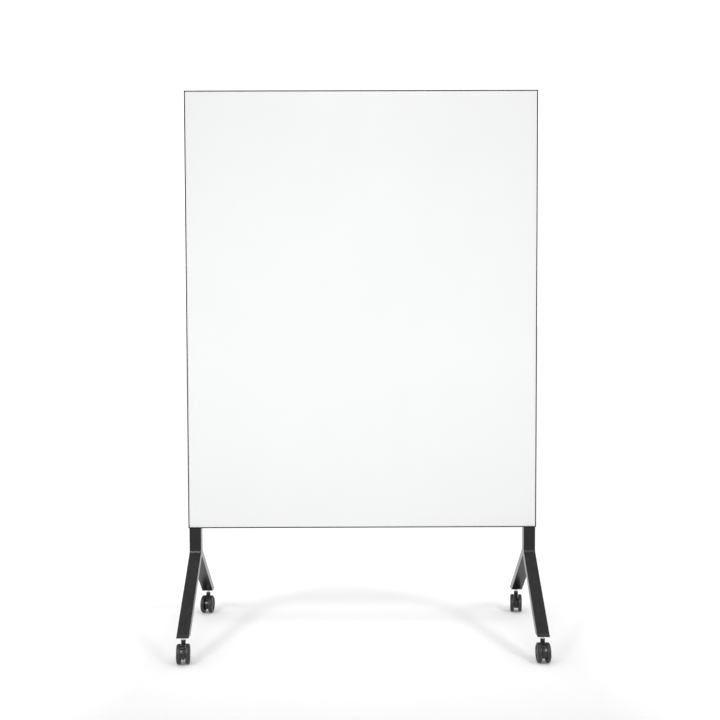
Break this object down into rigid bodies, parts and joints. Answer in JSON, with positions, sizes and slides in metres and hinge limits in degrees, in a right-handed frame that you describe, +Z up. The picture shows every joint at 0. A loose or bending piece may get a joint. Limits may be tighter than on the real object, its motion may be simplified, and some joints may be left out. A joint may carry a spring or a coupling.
{
  "type": "rolling whiteboard",
  "caption": "Double-sided white writing board in a thin dark edge, fixed upright on inverted-Y legs with swivelling twin-wheel casters.",
  "frame": {"origin": "on the floor, under the middle of the board, in the board's middle plane", "axes": "+X to the right along the board as seen from its front, +Y from the front face to the rear face, +Z up"},
  "size_m": [1.201, 0.654, 1.871],
  "materials": {
    "white_enamel": "gloss white enamel on steel sheet",
    "core_board": "raw wood-fibre board, hidden",
    "black_edge": "satin black anodised",
    "black_leg": "satin black powder coat, fine texture",
    "black_foot": "satin black moulded nylon",
    "bare_steel": "bare rolled steel, hidden",
    "black_screws": "black zinc",
    "zinc_steel": "bright zinc-plated steel",
    "black_caster": "satin black moulded nylon",
    "black_tyre": "matte black soft tread"
  },
  "bodies": {
    "stand": {"board_core": "core_board", "edge_profile_bottom": "black_edge", "edge_profile_left": "black_edge", "edge_profile_right": "black_edge", "edge_profile_screws": "black_screws", "edge_profile_top": "black_edge", "front_left_stem": "zinc_steel", "front_right_stem": "zinc_steel", "front_writing_sheet": "white_enamel", "kingpin_grip_rings": "zinc_steel", "left_column": "black_leg", "left_column_plate": "black_leg", "left_front_arm": "black_leg", "left_front_foot_plug": "black_foot", "left_rear_arm": "black_leg", "left_rear_foot_plug": "black_foot", "left_socket": "bare_steel", "left_spigot": "bare_steel", "left_spigot_screws": "black_screws", "rear_left_stem": "zinc_steel", "rear_right_stem": "zinc_steel", "rear_writing_sheet": "white_enamel", "right_column": "black_leg", "right_column_plate": "black_leg", "right_front_arm": "black_leg", "right_front_foot_plug": "black_foot", "right_rear_arm": "black_leg", "right_rear_foot_plug": "black_foot", "right_socket": "bare_steel", "right_spigot": "bare_steel", "right_spigot_screws": "black_screws", "top_corner_brackets": "bare_steel"},
    "front_left_caster": {"front_left_body": "black_caster", "front_left_axle": "zinc_steel"},
    "front_left_outer_wheel": {"front_left_outer_wheel": "black_caster", "front_left_outer_tyre": "black_tyre"},
    "front_left_inner_wheel": {"front_left_inner_wheel": "black_caster", "front_left_inner_tyre": "black_tyre"},
    "front_left_brake_lever": {"front_left_brake_lever": "black_caster"},
    "front_right_caster": {"front_right_body": "black_caster", "front_right_axle": "zinc_steel"},
    "front_right_outer_wheel": {"front_right_outer_wheel": "black_caster", "front_right_outer_tyre": "black_tyre"},
    "front_right_inner_wheel": {"front_right_inner_wheel": "black_caster", "front_right_inner_tyre": "black_tyre"},
    "front_right_brake_lever": {"front_right_brake_lever": "black_caster"},
    "rear_left_caster": {"rear_left_body": "black_caster", "rear_left_axle": "zinc_steel"},
    "rear_left_outer_wheel": {"rear_left_outer_wheel": "black_caster", "rear_left_outer_tyre": "black_tyre"},
    "rear_left_inner_wheel": {"rear_left_inner_wheel": "black_caster", "rear_left_inner_tyre": "black_tyre"},
    "rear_right_caster": {"rear_right_body": "black_caster", "rear_right_axle": "zinc_steel"},
    "rear_right_outer_wheel": {"rear_right_outer_wheel": "black_caster", "rear_right_outer_tyre": "black_tyre"},
    "rear_right_inner_wheel": {"rear_right_inner_wheel": "black_caster", "rear_right_inner_tyre": "black_tyre"}
  },
  "joints": [
    {"name": "front_left_swivel", "type": "hinge", "parent": "stand", "child": "front_left_caster", "pos_m": [-0.576, -0.29231, 0.0742], "axis": [0, 0, 1], "continuous": true},
    {"name": "front_left_outer_spin", "type": "hinge", "parent": "front_left_caster", "child": "front_left_outer_wheel", "pos_m": [-0.57491, -0.30476, 0.032], "axis": [0.9962, 0.0872, 0], "continuous": true},
    {"name": "front_left_inner_spin", "type": "hinge", "parent": "front_left_caster", "child": "front_left_inner_wheel", "pos_m": [-0.57491, -0.30476, 0.032], "axis": [0.9962, 0.0872, 0], "continuous": true},
    {"name": "front_left_brake", "type": "hinge", "parent": "front_left_caster", "child": "front_left_brake_lever", "pos_m": [-0.57491, -0.30476, 0.032], "axis": [0.9962, 0.0872, 0], "range_deg": [0, 16]},
    {"name": "front_right_swivel", "type": "hinge", "parent": "stand", "child": "front_right_caster", "pos_m": [0.576, -0.29231, 0.0742], "axis": [0, 0, 1], "continuous": true},
    {"name": "front_right_outer_spin", "type": "hinge", "parent": "front_right_caster", "child": "front_right_outer_wheel", "pos_m": [0.57622, -0.30481, 0.032], "axis": [0.9998, 0.0175, 0], "continuous": true},
    {"name": "front_right_inner_spin", "type": "hinge", "parent": "front_right_caster", "child": "front_right_inner_wheel", "pos_m": [0.57622, -0.30481, 0.032], "axis": [0.9998, 0.0175, 0], "continuous": true},
    {"name": "front_right_brake", "type": "hinge", "parent": "front_right_caster", "child": "front_right_brake_lever", "pos_m": [0.57622, -0.30481, 0.032], "axis": [0.9998, 0.0175, 0], "range_deg": [0, 16]},
    {"name": "rear_left_swivel", "type": "hinge", "parent": "stand", "child": "rear_left_caster", "pos_m": [-0.576, 0.29231, 0.0742], "axis": [0, 0, 1], "continuous": true},
    {"name": "rear_left_outer_spin", "type": "hinge", "parent": "rear_left_caster", "child": "rear_left_outer_wheel", "pos_m": [-0.57731, 0.27988, 0.032], "axis": [0.9945, -0.1045, 0], "continuous": true},
    {"name": "rear_left_inner_spin", "type": "hinge", "parent": "rear_left_caster", "child": "rear_left_inner_wheel", "pos_m": [-0.57731, 0.27988, 0.032], "axis": [0.9945, -0.1045, 0], "continuous": true},
    {"name": "rear_right_swivel", "type": "hinge", "parent": "stand", "child": "rear_right_caster", "pos_m": [0.576, 0.29231, 0.0742], "axis": [0, 0, 1], "continuous": true},
    {"name": "rear_right_outer_spin", "type": "hinge", "parent": "rear_right_caster", "child": "rear_right_outer_wheel", "pos_m": [0.57448, 0.27991, 0.032], "axis": [0.9925, -0.1219, 0], "continuous": true},
    {"name": "rear_right_inner_spin", "type": "hinge", "parent": "rear_right_caster", "child": "rear_right_inner_wheel", "pos_m": [0.57448, 0.27991, 0.032], "axis": [0.9925, -0.1219, 0], "continuous": true}
  ]
}
